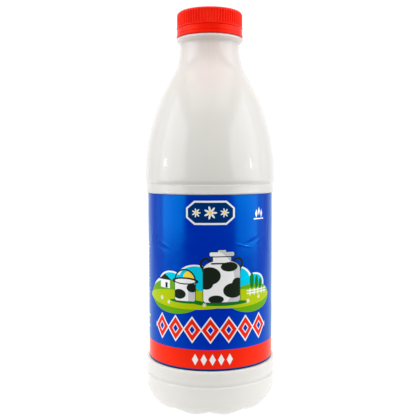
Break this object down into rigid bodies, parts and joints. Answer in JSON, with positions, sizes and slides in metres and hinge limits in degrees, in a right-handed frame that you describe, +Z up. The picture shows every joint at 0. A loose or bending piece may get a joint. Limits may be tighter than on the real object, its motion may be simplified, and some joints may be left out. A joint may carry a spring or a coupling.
{
  "type": "plastic milk bottle",
  "caption": "Tall round white plastic milk bottle, shut with a ribbed red screw cap, with a printed film label in a shallow panel and a footed base.",
  "frame": {"origin": "on the ground under the bottle's axis", "axes": "+Z up along the bottle's axis towards the cap, -Y towards the front of the label, +X to the right as the front is seen"},
  "size_m": [0.082, 0.082, 0.2456],
  "materials": {
    "white_plastic": "opaque milky white blown plastic, softly glossy",
    "red_plastic": "injection moulded red plastic, satin, with grip ribs",
    "printed_film": "thin glossy film printed in blue with a red band and a plain country scene"
  },
  "bodies": {
    "root": {"bottle": "white_plastic", "cap": "red_plastic", "label": "printed_film"}
  },
  "joints": []
}
